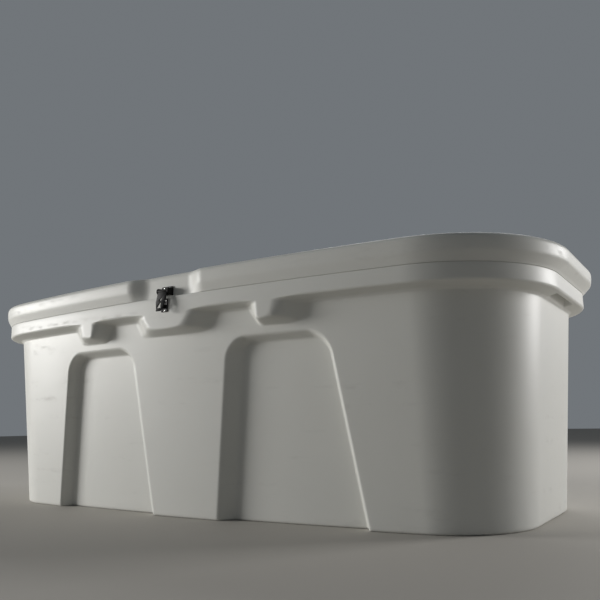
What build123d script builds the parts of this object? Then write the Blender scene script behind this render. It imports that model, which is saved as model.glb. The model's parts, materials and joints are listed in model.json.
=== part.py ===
"""Large insulated chest: double-walled body, foam-filled lid on three hinges, hasp latch and drain.

Frame: +X along the chest, the front with the latch faces -Y, +Z up, the origin on the floor
under the middle of the whole chest.  Millimetres.
"""
import os
from math import asin, atan, cos, degrees, radians, sin, sqrt

from build123d import *

os.makedirs("parts", exist_ok=True)

# ---------------------------------------------------------------- driving dimensions
BASE_HALF_LENGTH = 719.0      # plan outline at the floor, from which every other outline is offset
BASE_BACK_Y = 316.5
BASE_CORNER_Y = -286.5        # front line through the ends of the bow
FRONT_BOW = 30.0              # how far the middle of the front stands proud of that line
CORNER_RADIUS = 182.0

WALL_TOP = 450.0
WALL_FLARE = 41.0             # the walls lean out by this much from the floor to WALL_TOP
RIM_OFFSET = 75.0             # rim band, measured out from the plan outline at the floor
RIM_UNDER = 456.0
RIM_TOP = 491.0
FOOT_ROUND = 6.0              # small bevel along the bottom edge

SKIN = 6.0                    # moulded wall of the body
LID_SKIN = 5.0
LINER_SKIN = 5.0
LINER_FLOOR = 45.0            # underside of the inner tub
LINER_TOP_OFFSET = -7.0       # outside of the tub at the rim
LINER_STRAIGHT = 20.0         # upright band at the top of the tub

LID_BOTTOM = 493.5
LID_BEVEL_TOP = 512.0
LID_BULGE = 528.0
OVERALL_HEIGHT = 544.0
LID_OFFSETS = (76.0, 95.0, 97.0)     # ends and back, at LID_BOTTOM, LID_BEVEL_TOP and LID_BULGE
LID_FRONT_OFFSETS = (76.0, 84.0, 85.0)
LID_EDGE_ROUND = ((1.5, 6.0), (5.0, 1.8), (11.0, 0.0))   # in from the bulge, down from the top
LID_LIP = 58.0                # the lid's skin turns in to this offset, where the under-pan starts
LID_PLUG_OFFSET = -16.0       # the under-pan's plug that drops into the tub
LID_PLUG_DEPTH = 20.0
LID_PLUG_TAPER = 2.0
GASKET_OFFSETS = (16.0, 32.0)
GASKET_BOTTOM = RIM_TOP + 0.2
GASKET_TOP = 496.0

PANEL_CENTRE = 273.0          # two sunk panels, open at the floor
PANEL_DEPTH = 28.0
PANEL_RAMPS = (32.0, 15.0, 9.0)      # width of the slope towards the middle, the end and the top
PANEL_TOP = 390.0
PANEL_FOOT = (-177.0, 178.0)         # towards the middle and towards the end, from the centre
PANEL_HEAD = (-127.0, 114.5)
PANEL_CORNERS = (48.0, 30.0)         # at the wall and on the sunk floor

TONGUE_BOTTOM = 415.0
TONGUE_FACE = (81.0, 51.0)           # half width at the rim and at the bottom
TONGUE_SPREAD = (41.0, 46.0)         # how much wider it is where it meets the wall
TAB_CENTRE = 265.0
TAB_FACE_IN = (26.0, 20.0)           # face edges from the tab's centre, at the rim and the bottom
TAB_FACE_OUT = (35.0, 20.0)
TAB_SPREAD_IN = (32.0, 13.0)
TAB_SPREAD_OUT = (52.0, 39.0)
TAB_PROTRUSION = 36.0
HANGING_BURIED = 14.0         # how far the tongue and tabs run on into the wall and the rim
HANGING_DROP = 2.0            # how much lower they reach where they meet the wall

RECESS_OFFSET = 66.0          # floor of the latch recess in the lid's front edge
RECESS_HALF = 68.0
RECESS_RAMP = 39.0
GRIP_LENGTH = 160.0           # finger pocket under each end of the rim
GRIP_WIDTH = 20.0
GRIP_ROOF = 472.0
GRIP_WALL_GAP = 4.0           # strip of the rim's underside between the wall and the pocket
GRIP_CORNER = 8.0

HINGE_X = (-480.0, 0.0, 480.0)
HINGE_NAMES = ("left", "middle", "right")
HINGE_POCKET_HALF = 60.0
HINGE_POCKET_RAMP = 20.0
LEAF_WIDTH = 90.0
LEAF_THICK = 2.5
LEAF_HEIGHT = 29.0
LEAF_CLEAR = 6.0              # gap between a leaf and the hinge axis
KNUCKLE_RADIUS = 5.5
HINGE_PIN_RADIUS = 3.0
RUNNING = 0.05                # radial clearance of every turning fit
FIXED = 0.02
LID_OPEN_DEG = 100.0

WALL_SLOPE = WALL_FLARE / WALL_TOP
DRAFT = degrees(atan(WALL_SLOPE))
BACK_FACE_Y = BASE_BACK_Y + RIM_OFFSET
FRONT_FACE_Y = BASE_CORNER_Y - FRONT_BOW - RIM_OFFSET
RECESS_FACE_Y = BASE_CORNER_Y - FRONT_BOW - RECESS_OFFSET
HINGE_Y = BACK_FACE_Y + LEAF_CLEAR
HINGE_Z = 0.5 * (RIM_TOP + LID_BOTTOM)


# ---------------------------------------------------------------- outlines and stacked forms
bow_chord = BASE_HALF_LENGTH - CORNER_RADIUS
bow_radius = (bow_chord**2 + FRONT_BOW**2) / (2 * FRONT_BOW)
bow_front_y = BASE_CORNER_Y - FRONT_BOW


def front_y(x, offset=0.0):
    """Front of the outline at x, on the bow that is offset outwards."""
    radius = bow_radius + offset
    return bow_front_y + bow_radius - sqrt(radius**2 - x**2)


def outline(offset, height, front=None):
    """Plan outline grown by offset, the bowed front by its own amount where that is given."""
    side = BASE_HALF_LENGTH + offset
    back = BASE_BACK_Y + offset
    front = offset if front is None else front
    end_y = front_y(side, front)
    with BuildSketch(Plane.XY.offset(height)) as ring:
        with BuildLine():
            Line((side, end_y), (side, back))
            Line((side, back), (-side, back))
            Line((-side, back), (-side, end_y))
            ThreePointArc((-side, end_y), (0, front_y(0, front)), (side, end_y))
        make_face()
        fillet(ring.vertices(), radius=CORNER_RADIUS + offset)
    return ring.sketch


def stack(*levels):
    """Solid through outlines at (offset, height) levels, ruled from each to the next."""
    with BuildPart() as form:
        for level in levels:
            add(outline(*level))
        loft(ruled=True)
    return form.part


def front_plane(x, offset, lean=0.0):
    """Plane on the front at x, facing out square to the bow, leaning out by lean degrees."""
    turn = asin(x / (bow_radius + offset))
    out = (sin(turn) * cos(radians(lean)), -cos(turn) * cos(radians(lean)), -sin(radians(lean)))
    return Plane(origin=(x, front_y(x, offset), 0), x_dir=(cos(turn), sin(turn), 0), z_dir=out)


def panel_tool(inset):
    """Cutter for the right sunk panel: sloped sides, rounded upper corners, open at the floor."""
    below = -80.0
    mouth = 20.0
    lean_in = (PANEL_HEAD[0] - PANEL_FOOT[0]) / PANEL_TOP
    lean_out = (PANEL_HEAD[1] - PANEL_FOOT[1]) / PANEL_TOP
    plane = front_plane(PANEL_CENTRE, 0, DRAFT)
    with BuildPart() as tool:
        for level, corner in ((mouth, PANEL_CORNERS[0]), (-PANEL_DEPTH - inset, PANEL_CORNERS[1])):
            slopes = [ramp / PANEL_DEPTH for ramp in PANEL_RAMPS]
            inner, outer, above = [level * k + inset * sqrt(1 + k * k) for k in slopes]
            top = PANEL_TOP + above
            with BuildSketch(plane.offset(level)) as panel:
                with BuildLine():
                    Polyline(
                        (PANEL_FOOT[0] + lean_in * below - inner, below),
                        (PANEL_HEAD[0] + lean_in * above - inner, top),
                        (PANEL_HEAD[1] + lean_out * above + outer, top),
                        (PANEL_FOOT[1] + lean_out * below + outer, below),
                        close=True,
                    )
                make_face()
                fillet(panel.vertices().group_by(Axis.Z)[-1], radius=corner)
        loft()
    return tool.part


def hanging_block(plane, inset, face_in, face_out, spread_in, spread_out):
    """Block that hangs from the rim: flush with it in front, spreading towards the wall."""
    depth = TAB_PROTRUSION + HANGING_BURIED
    reach = depth / TAB_PROTRUSION
    top = RIM_UNDER + HANGING_BURIED
    with BuildPart() as block:
        for level, share in ((-inset, 0.0), (-inset - depth, reach)):
            with BuildSketch(plane.offset(level)):
                with BuildLine():
                    Polyline(
                        (-face_in[0] - share * spread_in[0], top),
                        (-face_in[0] - share * spread_in[0], RIM_UNDER),
                        (-face_in[1] - share * spread_in[1], TONGUE_BOTTOM - HANGING_DROP * share),
                        (face_out[1] + share * spread_out[1], TONGUE_BOTTOM - HANGING_DROP * share),
                        (face_out[0] + share * spread_out[0], RIM_UNDER),
                        (face_out[0] + share * spread_out[0], top),
                        close=True,
                    )
                make_face()
                offset(amount=-inset, kind=Kind.INTERSECTION)
        loft(ruled=True)
    return block.part


def grip_tool(inset):
    """Finger pocket cut up into the underside of the right end of the rim."""
    inner = BASE_HALF_LENGTH + WALL_FLARE + GRIP_WALL_GAP
    start = WALL_TOP - 20.0
    with BuildPart() as tool:
        with BuildSketch(Plane.XY.offset(start)):
            with Locations((inner + GRIP_WIDTH / 2, 0)):
                RectangleRounded(GRIP_WIDTH + 2 * inset, GRIP_LENGTH + 2 * inset, GRIP_CORNER)
        extrude(amount=GRIP_ROOF + inset - start)
    return tool.part


def body_form(inset, top):
    """Outside of the body, or with an inset the inside of its moulded skin."""
    low = inset if inset else 0.0
    walls = stack(
        (-inset + WALL_SLOPE * low - (0 if inset else FOOT_ROUND), low),
        (-inset + WALL_SLOPE * (low + FOOT_ROUND), low + FOOT_ROUND),
        (WALL_FLARE - inset, WALL_TOP + inset),
        (RIM_OFFSET - inset, RIM_UNDER + inset),
        (RIM_OFFSET - inset, top),
    )
    tongue = hanging_block(
        front_plane(0, RIM_OFFSET), inset, TONGUE_FACE, TONGUE_FACE, TONGUE_SPREAD, TONGUE_SPREAD
    )
    tab = hanging_block(
        front_plane(TAB_CENTRE, RIM_OFFSET), inset,
        TAB_FACE_IN, TAB_FACE_OUT, TAB_SPREAD_IN, TAB_SPREAD_OUT,
    )
    panel = panel_tool(inset)
    grip = grip_tool(inset)
    with BuildPart() as form:
        add(walls)
        add(tongue)
        add(tab)
        mirror(tab, about=Plane.YZ)
        add(panel, mode=Mode.SUBTRACT)
        mirror(panel, about=Plane.YZ, mode=Mode.SUBTRACT)
        add(grip, mode=Mode.SUBTRACT)
        mirror(grip, about=Plane.YZ, mode=Mode.SUBTRACT)
    return form.part


def end_wall_x(height, offset=0.0):
    """Distance of the leaning end wall from the middle of the chest at a height."""
    return BASE_HALF_LENGTH + WALL_SLOPE * height + offset


def rod(start, direction, radius, length):
    """Plain round bar, kept outside every builder."""
    return extrude(Plane(start, z_dir=direction) * Circle(radius), length)


# ---------------------------------------------------------------- fasteners and drain: shared sizes
SCREW_RADIUS = 2.4
SCREW_LENGTH = 22.0
SCREW_HEAD_RADIUS = 4.6
SCREW_HEAD_HEIGHT = 2.4
LATCH_SCREW_RADIUS = 1.6
LATCH_SCREW_LENGTH = 14.0
LATCH_HEAD_RADIUS = 2.7
LATCH_HEAD_HEIGHT = 1.5
SLOT_WIDTH = 0.9

SCREW_SPREAD = (-32.0, 0.0, 32.0)
SCREW_BEYOND = 2.0            # screws sit this far beyond the middle of a leaf
hinge_screw_x = [x + dx for x in HINGE_X for dx in SCREW_SPREAD]
body_screw_z = HINGE_Z - LEAF_CLEAR - LEAF_HEIGHT / 2 - SCREW_BEYOND
lid_screw_z = HINGE_Z + LEAF_CLEAR + LEAF_HEIGHT / 2 + SCREW_BEYOND
body_hinge_screws = [(x, BACK_FACE_Y, body_screw_z) for x in hinge_screw_x]
lid_hinge_screws = [(x, BACK_FACE_Y, lid_screw_z) for x in hinge_screw_x]

LATCH_PLATE = 2.0
LATCH_TOP = 516.0
BRACKET_HALF_WIDTH = 17.0
BRACKET_BOTTOM = 497.0
STAPLE_BOTTOM = 456.0
STAPLE_TOP = 487.0
STAPLE_HALF_WIDTH = 10.0
bracket_screws = [(x, RECESS_FACE_Y, 511.5) for x in (-8.5, 8.5)]
staple_screws = [(x, FRONT_FACE_Y, 482.0) for x in (-5.0, 5.0)]
staple_screws.append((0, FRONT_FACE_Y, 459.5))

DRAIN_Z = 84.0
DRAIN_TUBE_RADIUS = 14.0
DRAIN_BORE_RADIUS = 10.5
DRAIN_FLANGE_RADIUS = 26.0
DRAIN_FLANGE_THICK = 6.0
DRAIN_SPOT_RADIUS = 29.0      # flat seat cut into the leaning wall
DRAIN_SPOT_FOOT = 30.0     # its lowest edge meets the wall this far under the drain's centre
DRAIN_SEAL_THICK = 3.0
DRAIN_BOSS_RADIUS = 34.0
DRAIN_BOSS_THICK = 15.0
DRAIN_BOSS_PROUD = 8.0        # the boss starts beyond the wall and is cut to it
DRAIN_NUT_RADIUS = 20.0
DRAIN_NUT_THICK = 8.0
DRAIN_PAD_RADIUS = 22.0
DRAIN_PAD_DEPTH = 14.0
DRAIN_PAD_SUNK = 0.5
DRAIN_TUBE_BEYOND = 4.0       # end of the tube past the nut
DRAIN_WAY_LENGTH = 300.0
PLUG_WASHER_THICK = 2.0
PLUG_STEM_LENGTH = 16.0
PLUG_KNOB_RADIUS = 18.0
PLUG_KNOB_THICK = 6.0
PLUG_GRIP_LENGTH = 14.0
drain_seat_x = -end_wall_x(DRAIN_Z - DRAIN_SPOT_FOOT)
drain_flange_x = drain_seat_x - DRAIN_SEAL_THICK
drain_face_x = drain_flange_x - DRAIN_FLANGE_THICK
liner_inner_offset = LINER_TOP_OFFSET - LINER_SKIN - WALL_SLOPE * (RIM_TOP - LINER_STRAIGHT)
drain_pad_x = -(end_wall_x(DRAIN_Z - DRAIN_PAD_RADIUS, liner_inner_offset) - DRAIN_PAD_SUNK)
drain_tube_end_x = drain_pad_x + DRAIN_NUT_THICK + DRAIN_TUBE_BEYOND


def holes(points, direction, radius, length):
    """Row of round cutters that start at the given points."""
    return [rod(point, direction, radius, length) for point in points]


# ---------------------------------------------------------------- body: shell, tub and foam
outer_form = body_form(0.0, RIM_TOP)
inner_form = body_form(SKIN, RIM_TOP - SKIN)
tub_slope_foot = LINER_TOP_OFFSET - WALL_SLOPE * (RIM_TOP - LINER_STRAIGHT - LINER_FLOOR)
TUB_FLOOR_ROUND = 11.0
FILL_PLUG_X = 400.0
FILL_PLUG_RADIUS = 20.0
rim_screw_cuts = holes(body_hinge_screws, (0, -1, 0), SCREW_RADIUS + FIXED, SCREW_LENGTH)
staple_screw_cuts = holes(
    staple_screws, (0, 1, 0), LATCH_SCREW_RADIUS + FIXED, LATCH_SCREW_LENGTH
)

with BuildPart() as tub_outside:
    add(
        stack(
            (tub_slope_foot - TUB_FLOOR_ROUND, LINER_FLOOR),
            (tub_slope_foot + WALL_SLOPE * TUB_FLOOR_ROUND, LINER_FLOOR + TUB_FLOOR_ROUND),
            (LINER_TOP_OFFSET, RIM_TOP - LINER_STRAIGHT),
            (LINER_TOP_OFFSET, RIM_TOP),
        )
    )

with BuildPart() as tub_inside:
    floor = LINER_FLOOR + LINER_SKIN
    foot = tub_slope_foot - LINER_SKIN + WALL_SLOPE * LINER_SKIN
    add(
        stack(
            (foot - TUB_FLOOR_ROUND, floor),
            (foot + WALL_SLOPE * TUB_FLOOR_ROUND, floor + TUB_FLOOR_ROUND),
            (LINER_TOP_OFFSET - LINER_SKIN, RIM_TOP - LINER_STRAIGHT),
            (LINER_TOP_OFFSET - LINER_SKIN, RIM_TOP + 1),
        )
    )

drain_boss_x = drain_seat_x - DRAIN_BOSS_PROUD
drain_boss_length = DRAIN_BOSS_THICK + DRAIN_BOSS_PROUD
drain_boss = rod((drain_boss_x, 0, DRAIN_Z), (1, 0, 0), DRAIN_BOSS_RADIUS, drain_boss_length)
drain_spot_face = rod((drain_seat_x, 0, DRAIN_Z), (-1, 0, 0), DRAIN_SPOT_RADIUS, 40.0)
drain_way = rod((-900, 0, DRAIN_Z), (1, 0, 0), DRAIN_TUBE_RADIUS + FIXED, DRAIN_WAY_LENGTH)
drain_pad = rod((drain_pad_x, 0, DRAIN_Z), (-1, 0, 0), DRAIN_PAD_RADIUS, DRAIN_PAD_DEPTH)

with BuildPart() as body_shell:
    add(outer_form)
    add(inner_form, mode=Mode.SUBTRACT)
    add(tub_outside.part, mode=Mode.SUBTRACT)
    add(drain_boss & outer_form)
    add(drain_spot_face, mode=Mode.SUBTRACT)
    add(drain_way, mode=Mode.SUBTRACT)
    for cut in rim_screw_cuts + staple_screw_cuts:
        add(cut, mode=Mode.SUBTRACT)
    with BuildSketch():
        with Locations((-FILL_PLUG_X, 0), (FILL_PLUG_X, 0)):
            Circle(FILL_PLUG_RADIUS)
    extrude(amount=SKIN, mode=Mode.SUBTRACT)

with BuildPart() as body_liner:
    add(tub_outside.part)
    add(tub_inside.part, mode=Mode.SUBTRACT)
    add(drain_pad)
    add(drain_way, mode=Mode.SUBTRACT)

with BuildPart() as body_foam:
    add(inner_form)
    add(tub_outside.part, mode=Mode.SUBTRACT)
    add(drain_boss, mode=Mode.SUBTRACT)
    add(drain_pad, mode=Mode.SUBTRACT)
    add(drain_way, mode=Mode.SUBTRACT)
    for cut in rim_screw_cuts + staple_screw_cuts:
        add(cut, mode=Mode.SUBTRACT)

with BuildPart() as foam_fill_plugs:
    with BuildSketch(Plane.XY.offset(1.0)):
        with Locations((-FILL_PLUG_X, 0), (FILL_PLUG_X, 0)):
            Circle(FILL_PLUG_RADIUS - RUNNING)
    extrude(amount=SKIN - 1.0)
    chamfer(foam_fill_plugs.edges().group_by(Axis.Z)[0], length=0.8)


# ---------------------------------------------------------------- lid: shell, under-pan, foam, seal
def edge_notch(face_y, half, ramp, depth, inset, outward):
    """Cutter that sets the lid's edge back by depth to face_y, with a slanted ramp at each end."""
    reach = 40.0
    face = face_y - outward * inset
    spread = ramp * reach / depth
    with BuildPart() as notch:
        with BuildSketch(Plane.XY.offset(LID_BOTTOM - 5)):
            with BuildLine():
                Polyline(
                    (-half - inset, face),
                    (half + inset, face),
                    (half + inset + spread, face + outward * reach),
                    (-half - inset - spread, face + outward * reach),
                    close=True,
                )
            make_face()
        extrude(amount=OVERALL_HEIGHT)
    return notch.part


def lid_form(inset):
    """Outside of the lid, or with an inset the inside of its moulded skin."""
    share = inset / (LID_BEVEL_TOP - LID_BOTTOM)
    top = OVERALL_HEIGHT - inset
    low, middle, bulge = [value - inset for value in LID_OFFSETS]
    front_low, front_middle, front_bulge = [value - inset for value in LID_FRONT_OFFSETS]
    edge = stack(
        (
            low + share * (middle - low),
            LID_BOTTOM + inset,
            front_low + share * (front_middle - front_low),
        ),
        (middle, LID_BEVEL_TOP, front_middle),
        (bulge, LID_BULGE, front_bulge),
        *[(bulge - back, top - down, front_bulge - back) for back, down in LID_EDGE_ROUND],
    )
    latch_notch = edge_notch(
        RECESS_FACE_Y, RECESS_HALF, RECESS_RAMP, LID_FRONT_OFFSETS[2] - RECESS_OFFSET, inset, -1
    )
    hinge_notch = edge_notch(
        BACK_FACE_Y, HINGE_POCKET_HALF, HINGE_POCKET_RAMP, LID_OFFSETS[2] - RIM_OFFSET, inset, 1
    )
    with BuildPart() as form:
        add(edge)
        add(latch_notch, mode=Mode.SUBTRACT)
        with Locations(*[(x, 0, 0) for x in HINGE_X]):
            add(hinge_notch, mode=Mode.SUBTRACT)
    return form.part


lid_outside = lid_form(0.0)
lid_inside = lid_form(LID_SKIN)
pan_top = LID_BOTTOM + LID_SKIN
plug_bottom = LID_BOTTOM - LID_PLUG_DEPTH
lid_screw_cuts = holes(lid_hinge_screws, (0, -1, 0), SCREW_RADIUS + FIXED, SCREW_LENGTH)
bracket_screw_cuts = holes(
    bracket_screws, (0, 1, 0), LATCH_SCREW_RADIUS + FIXED, LATCH_SCREW_LENGTH
)

with BuildPart() as lid_shell:
    add(lid_outside)
    add(lid_inside, mode=Mode.SUBTRACT)
    add(outline(LID_LIP, LID_BOTTOM))
    extrude(amount=LID_SKIN, mode=Mode.SUBTRACT)
    for cut in lid_screw_cuts + bracket_screw_cuts:
        add(cut, mode=Mode.SUBTRACT)

with BuildPart() as gasket_groove:
    add(outline(GASKET_OFFSETS[1], LID_BOTTOM))
    extrude(amount=GASKET_TOP - LID_BOTTOM)
    add(outline(GASKET_OFFSETS[0], LID_BOTTOM))
    extrude(amount=GASKET_TOP - LID_BOTTOM, mode=Mode.SUBTRACT)

with BuildPart() as lid_liner:
    add(outline(LID_LIP, LID_BOTTOM))
    extrude(amount=LID_SKIN)
    add(stack((LID_PLUG_OFFSET - LID_PLUG_TAPER, plug_bottom), (LID_PLUG_OFFSET, LID_BOTTOM)))
    add(outline(LID_PLUG_OFFSET - LID_PLUG_TAPER - LID_SKIN, plug_bottom + LID_SKIN))
    extrude(amount=pan_top - plug_bottom - LID_SKIN, mode=Mode.SUBTRACT)
    add(gasket_groove.part, mode=Mode.SUBTRACT)

with BuildPart() as lid_foam:
    add(lid_inside)
    add(outline(LID_PLUG_OFFSET - LID_PLUG_TAPER - LID_SKIN, plug_bottom + LID_SKIN))
    extrude(amount=pan_top - plug_bottom - LID_SKIN)
    for cut in lid_screw_cuts + bracket_screw_cuts:
        add(cut, mode=Mode.SUBTRACT)

with BuildPart() as lid_gasket:
    add(outline(GASKET_OFFSETS[1], GASKET_BOTTOM))
    extrude(amount=GASKET_TOP - GASKET_BOTTOM)
    add(outline(GASKET_OFFSETS[0], GASKET_BOTTOM))
    extrude(amount=GASKET_TOP - GASKET_BOTTOM, mode=Mode.SUBTRACT)
    chamfer(lid_gasket.edges().group_by(Axis.Z)[0], length=1.5)


# ---------------------------------------------------------------- three butt hinges on the back
BARREL_EDGES = (-45.0, -27.0, -9.0, 9.0, 27.0, 45.0)   # five barrels, the lid's are 2 and 4
BARREL_GAP = 0.4
LEAF_CORNER = 6.0
STOP_WIDTH = 8.0              # lugs on the body's leaf that the lid's leaf comes to rest on
STOP_NEAR = 7.0
STOP_FAR = 14.5
STOP_CLEAR = 0.4
open_angle = radians(LID_OPEN_DEG)


def stop_height(reach):
    """Height over the axis of the lid leaf's outer face, fully open, at a reach behind the axis."""
    skin = LEAF_CLEAR - LEAF_THICK
    along = (reach + skin * cos(open_angle)) / sin(open_angle)
    return skin * sin(open_angle) + along * cos(open_angle)


def hinge_leaf(centre_x, side):
    """One leaf with its barrels: side +1 is screwed to the lid, -1 to the body."""
    near = HINGE_Z + side * LEAF_CLEAR
    middle = near + side * LEAF_HEIGHT / 2
    outer_face = BACK_FACE_Y + LEAF_THICK
    first = 1 if side > 0 else 0
    pin_clearance = RUNNING if side > 0 else FIXED
    with BuildPart() as leaf:
        with BuildSketch(Plane.XZ.offset(-outer_face)) as plate:
            with Locations((centre_x, middle)):
                Rectangle(LEAF_WIDTH, LEAF_HEIGHT)
            far_corners = plate.vertices().group_by(Axis.Z)[-1 if side > 0 else 0]
            fillet(far_corners, radius=LEAF_CORNER)
        extrude(amount=LEAF_THICK)
        for i in range(first, len(BARREL_EDGES) - 1, 2):
            start = BARREL_EDGES[i] + BARREL_GAP / 2
            width = BARREL_EDGES[i + 1] - BARREL_EDGES[i] - BARREL_GAP
            with BuildSketch(Plane.YZ.offset(centre_x + start)):
                with Locations((HINGE_Y, HINGE_Z)):
                    Circle(KNUCKLE_RADIUS)
                with BuildLine():
                    Polyline(
                        (BACK_FACE_Y, HINGE_Z + side * 1.4),
                        (BACK_FACE_Y, near),
                        (outer_face, near),
                        (HINGE_Y, HINGE_Z + side * 4.6),
                        (HINGE_Y, HINGE_Z + side * 1.4),
                        close=True,
                    )
                make_face()
            extrude(amount=width)
        if side < 0:
            for start in (BARREL_EDGES[0] + BARREL_GAP / 2, BARREL_EDGES[-1] - STOP_WIDTH):
                with BuildSketch(Plane.YZ.offset(centre_x + start)):
                    with BuildLine():
                        Polyline(
                            (BACK_FACE_Y, near - 9),
                            (HINGE_Y + STOP_FAR, HINGE_Z - 4),
                            (HINGE_Y + STOP_FAR, HINGE_Z + stop_height(STOP_FAR) - STOP_CLEAR),
                            (HINGE_Y + STOP_NEAR, HINGE_Z + stop_height(STOP_NEAR) - STOP_CLEAR),
                            (HINGE_Y, HINGE_Z - 4.6),
                            (BACK_FACE_Y, near),
                            close=True,
                        )
                    make_face()
                extrude(amount=STOP_WIDTH - BARREL_GAP / 2)
        with BuildSketch(Plane.YZ.offset(centre_x - LEAF_WIDTH)):
            with Locations((HINGE_Y, HINGE_Z)):
                Circle(HINGE_PIN_RADIUS + pin_clearance)
        extrude(amount=2 * LEAF_WIDTH, mode=Mode.SUBTRACT)
        with BuildSketch(Plane.XZ.offset(-outer_face)):
            with Locations(*[(centre_x + dx, middle + side * SCREW_BEYOND) for dx in SCREW_SPREAD]):
                Circle(SCREW_RADIUS + FIXED)
        extrude(amount=LEAF_THICK, mode=Mode.SUBTRACT)
    return leaf.part


def hinge_pin(centre_x):
    """Pin through all five barrels, peened over at both ends."""
    half = LEAF_WIDTH / 2
    with BuildPart() as pin:
        with BuildSketch(Plane.YZ.offset(centre_x - half)):
            with Locations((HINGE_Y, HINGE_Z)):
                Circle(HINGE_PIN_RADIUS)
        extrude(amount=LEAF_WIDTH)
        for end, way in ((centre_x - half, -1), (centre_x + half, 1)):
            with BuildSketch(Plane.YZ.offset(end)):
                with Locations((HINGE_Y, HINGE_Z)):
                    Circle(HINGE_PIN_RADIUS + 1.2)
            extrude(amount=way * 1.6)
        chamfer(pin.edges().group_by(Axis.X)[0] + pin.edges().group_by(Axis.X)[-1], length=0.8)
    return pin.part


def pan_screws(points, out, shank, length, head, height):
    """Cross-slotted pan-head screws at points on a plate's outer face, heads facing out."""
    with BuildPart() as screws:
        for point in points:
            face = Plane(origin=point, x_dir=(1, 0, 0), z_dir=out)
            with BuildSketch(face):
                Circle(head)
            extrude(amount=height)
            with BuildSketch(face):
                Circle(shank)
            extrude(amount=-length)
            with BuildSketch(face.offset(height)):
                Rectangle(1.3 * head, SLOT_WIDTH)
                Rectangle(SLOT_WIDTH, 1.3 * head)
            extrude(amount=-0.6 * height, mode=Mode.SUBTRACT)
        rims = screws.edges().filter_by(GeomType.CIRCLE)
        tops = [e for e in rims if abs(e.radius - head) < 0.01]
        front = Vector(*out)
        outer = [e for e in tops if (e.center() - Vector(*points[0])).dot(front) > 0.5 * height]
        chamfer(outer, length=0.35 * height)
    return screws.part


def lifted(points, out, amount):
    """The same points moved off the wall by a plate's thickness."""
    return [tuple(p + amount * d for p, d in zip(point, out)) for point in points]


BACKWARD = (0, 1, 0)
FORWARD = (0, -1, 0)
hinge_body_screws = pan_screws(
    lifted(body_hinge_screws, BACKWARD, LEAF_THICK), BACKWARD,
    SCREW_RADIUS, SCREW_LENGTH, SCREW_HEAD_RADIUS, SCREW_HEAD_HEIGHT,
)
hinge_lid_screws = pan_screws(
    lifted(lid_hinge_screws, BACKWARD, LEAF_THICK), BACKWARD,
    SCREW_RADIUS, SCREW_LENGTH, SCREW_HEAD_RADIUS, SCREW_HEAD_HEIGHT,
)


# ---------------------------------------------------------------- hasp latch at the middle front
LATCH_PIN_Y = FRONT_FACE_Y - 7.0
LATCH_PIN_Z = 504.0
LATCH_PIN_RADIUS = 1.5
LATCH_BARREL_RADIUS = 3.2
EAR_THICK = 2.0
HASP_HALF_WIDTH = 14.0
HASP_REST_DEG = 14.2          # the hasp hangs out by this much until it is pressed home
HASP_LIP = ((5.2, -0.6), (4.6, -2.5))    # finger lip past the bend: down and out of the plate
HASP_LENGTH = 45.0            # from the pin down to the bend of its finger lip
HASP_HOLE_AT = 21.5
HASP_HOLE_RADIUS = 2.8
HASP_WINDOW = (27.0, 42.0, 7.5)      # apex, base and half width of the triangular window
EYE_THICK = 3.0
EYE_BOTTOM = 463.6
EYE_TOP = 472.8
EYE_TIP_Y = -404.3
PADLOCK_EYE = (-400.0, 468.2, 2.6)   # y, z and radius of the hole for a padlock

with BuildPart() as latch_bracket:
    with BuildSketch(Plane.XZ.offset(-RECESS_FACE_Y)):
        with Locations((0, 0.5 * (LATCH_TOP + BRACKET_BOTTOM))):
            Rectangle(2 * BRACKET_HALF_WIDTH, LATCH_TOP - BRACKET_BOTTOM)
    extrude(amount=LATCH_PLATE)
    fillet(latch_bracket.edges().filter_by(Axis.Y).group_by(Axis.Z)[-1], radius=2.5)
    for side_x in (-BRACKET_HALF_WIDTH, BRACKET_HALF_WIDTH - EAR_THICK):
        with BuildSketch(Plane.YZ.offset(side_x)):
            with BuildLine():
                Polyline(
                    (RECESS_FACE_Y, 512.0),
                    (LATCH_PIN_Y, 510.5),
                    (LATCH_PIN_Y - 3.5, 507.0),
                    (LATCH_PIN_Y - 3.5, 501.0),
                    (LATCH_PIN_Y + 2.5, 494.5),
                    (RECESS_FACE_Y, 494.5),
                    close=True,
                )
            make_face()
        extrude(amount=EAR_THICK)
    with BuildSketch(Plane.YZ.offset(-BRACKET_HALF_WIDTH)):
        with Locations((LATCH_PIN_Y, LATCH_PIN_Z)):
            Circle(LATCH_PIN_RADIUS + FIXED)
    extrude(amount=2 * BRACKET_HALF_WIDTH, mode=Mode.SUBTRACT)
    with BuildSketch(Plane.XZ.offset(-RECESS_FACE_Y)):
        with Locations(*[(x, z) for x, y, z in bracket_screws]):
            Circle(LATCH_SCREW_RADIUS + FIXED)
    extrude(amount=LATCH_PLATE, mode=Mode.SUBTRACT)

latch_bracket_screws = pan_screws(
    lifted(bracket_screws, FORWARD, LATCH_PLATE), FORWARD,
    LATCH_SCREW_RADIUS, LATCH_SCREW_LENGTH, LATCH_HEAD_RADIUS, LATCH_HEAD_HEIGHT,
)

with BuildPart() as latch_pin:
    with BuildSketch(Plane.YZ.offset(-BRACKET_HALF_WIDTH)):
        with Locations((LATCH_PIN_Y, LATCH_PIN_Z)):
            Circle(LATCH_PIN_RADIUS)
    extrude(amount=2 * BRACKET_HALF_WIDTH)
    for end, way in ((-BRACKET_HALF_WIDTH, -1), (BRACKET_HALF_WIDTH, 1)):
        with BuildSketch(Plane.YZ.offset(end)):
            with Locations((LATCH_PIN_Y, LATCH_PIN_Z)):
                Circle(LATCH_PIN_RADIUS + 1.0)
        extrude(amount=way * 1.0)

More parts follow.
